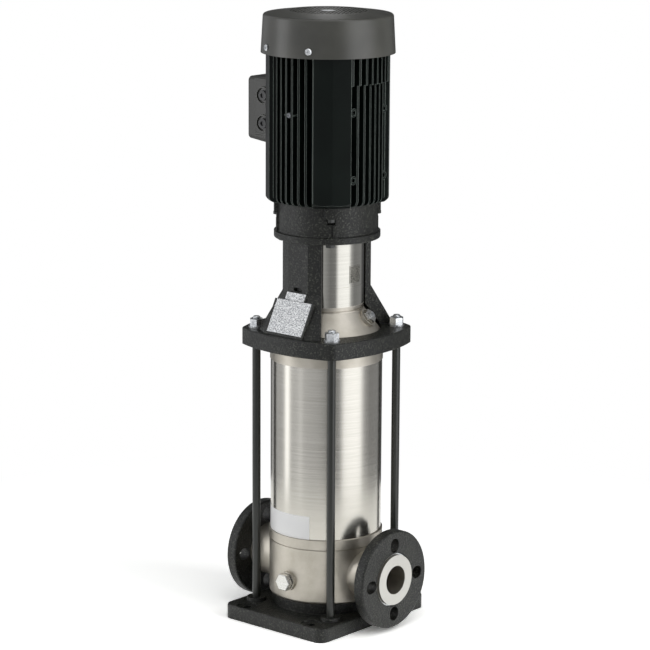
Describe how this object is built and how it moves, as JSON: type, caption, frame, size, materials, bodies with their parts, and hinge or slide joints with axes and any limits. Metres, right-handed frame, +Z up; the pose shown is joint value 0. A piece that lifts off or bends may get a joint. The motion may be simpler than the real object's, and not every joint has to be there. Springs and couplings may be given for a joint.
{
  "type": "vertical multistage pump",
  "caption": "Vertical in-line multistage centrifugal pump: flanged foot, stainless sleeve with staybolts, cast motor stool and finned motor on top.",
  "frame": {"origin": "centre of the base plate's underside, on the pump shaft's axis", "axes": "+Z up the shaft, X through the two ports with the outlet on +X, drain plug and rating plate towards -Y"},
  "size_m": [0.28, 0.247, 0.9279],
  "materials": {
    "cast_iron_paint": "matt cast",
    "stainless_casting": "satin cast",
    "stainless_sleeve": "brushed",
    "guard_sheet": "polished",
    "zinc_steel": "zinc plated",
    "rod_steel": "black",
    "shaft_steel": "ground",
    "motor_paint": "semi-gloss",
    "cover_paint": "satin",
    "plate_metal": "blank etched",
    "label_film": "film",
    "rubber_seal": "moulded",
    "seal_carbide": "lapped",
    "winding_copper": "varnished",
    "core_lamination": "stacked sheet",
    "fan_plastic": "moulded",
    "block_plastic": "moulded"
  },
  "bodies": {
    "casing": {"base_plate": "cast_iron_paint", "pump_base": "stainless_casting", "drain_gasket": "rubber_seal", "drain_plug": "stainless_casting", "inlet_snap_ring": "zinc_steel", "outlet_snap_ring": "zinc_steel", "sleeve_gaskets": "rubber_seal", "outer_sleeve": "stainless_sleeve", "sleeve_label": "label_film", "bearing_spider": "stainless_casting", "stage_chambers": "stainless_sleeve", "stack_clamp_ring": "stainless_sleeve", "pump_head": "stainless_casting", "vent_plug": "zinc_steel", "staybolts": "rod_steel", "staybolt_washers": "zinc_steel", "staybolt_nuts": "zinc_steel", "motor_stool": "cast_iron_paint", "rating_plate": "plate_metal", "marker_plate": "plate_metal", "plate_rivets": "plate_metal", "coupling_guard_left": "guard_sheet", "coupling_guard_right": "guard_sheet", "seal_cartridge": "stainless_casting", "seal_seat": "seal_carbide", "drive_end_shield": "cast_iron_paint", "motor_flange_bolts": "rod_steel", "motor_housing": "motor_paint", "stator_core": "core_lamination", "stator_windings": "winding_copper", "bearing_outer_rings": "shaft_steel", "non_drive_shield": "cast_iron_paint", "end_shield_bolts": "rod_steel", "fan_cover": "cover_paint", "cover_screws": "zinc_steel", "terminal_box": "cover_paint", "terminal_lid": "cover_paint", "lid_screws": "zinc_steel", "terminal_block": "block_plastic", "entry_plugs": "fan_plastic"},
    "inlet_ring": {"inlet_flange": "cast_iron_paint"},
    "outlet_ring": {"outlet_flange": "cast_iron_paint"},
    "vent": {"vent_spindle": "zinc_steel"},
    "rotor": {"impellers": "stainless_sleeve", "pump_shaft": "shaft_steel", "shaft_pin": "shaft_steel", "seal_ring": "seal_carbide", "coupling_half_front": "shaft_steel", "coupling_half_back": "shaft_steel", "coupling_screws": "rod_steel", "motor_shaft": "shaft_steel", "rotor_core": "core_lamination", "bearing_inner_rings": "shaft_steel", "fan": "fan_plastic"},
    "ball_sets": {"bearing_balls": "shaft_steel"}
  },
  "joints": [
    {"name": "rotor_spin", "type": "hinge", "parent": "casing", "child": "rotor", "pos_m": [0, 0, 0.7], "axis": [0, 0, 1], "continuous": true},
    {"name": "ball_orbit", "type": "hinge", "parent": "casing", "child": "ball_sets", "pos_m": [0, 0, 0.7], "axis": [0, 0, 1], "continuous": true},
    {"name": "inlet_flange_turn", "type": "hinge", "parent": "casing", "child": "inlet_ring", "pos_m": [-0.13, 0, 0.08], "axis": [1, 0, 0], "continuous": true},
    {"name": "outlet_flange_turn", "type": "hinge", "parent": "casing", "child": "outlet_ring", "pos_m": [0.13, 0, 0.08], "axis": [1, 0, 0], "continuous": true},
    {"name": "vent_lift", "type": "slide", "parent": "casing", "child": "vent", "axis": [0.7686, 0.2423, 0.592], "range_m": [0, 0.003]}
  ],
  "couplings": [
    {"joint": "ball_orbit", "follows": "rotor_spin", "ratio": 0.3978}
  ]
}
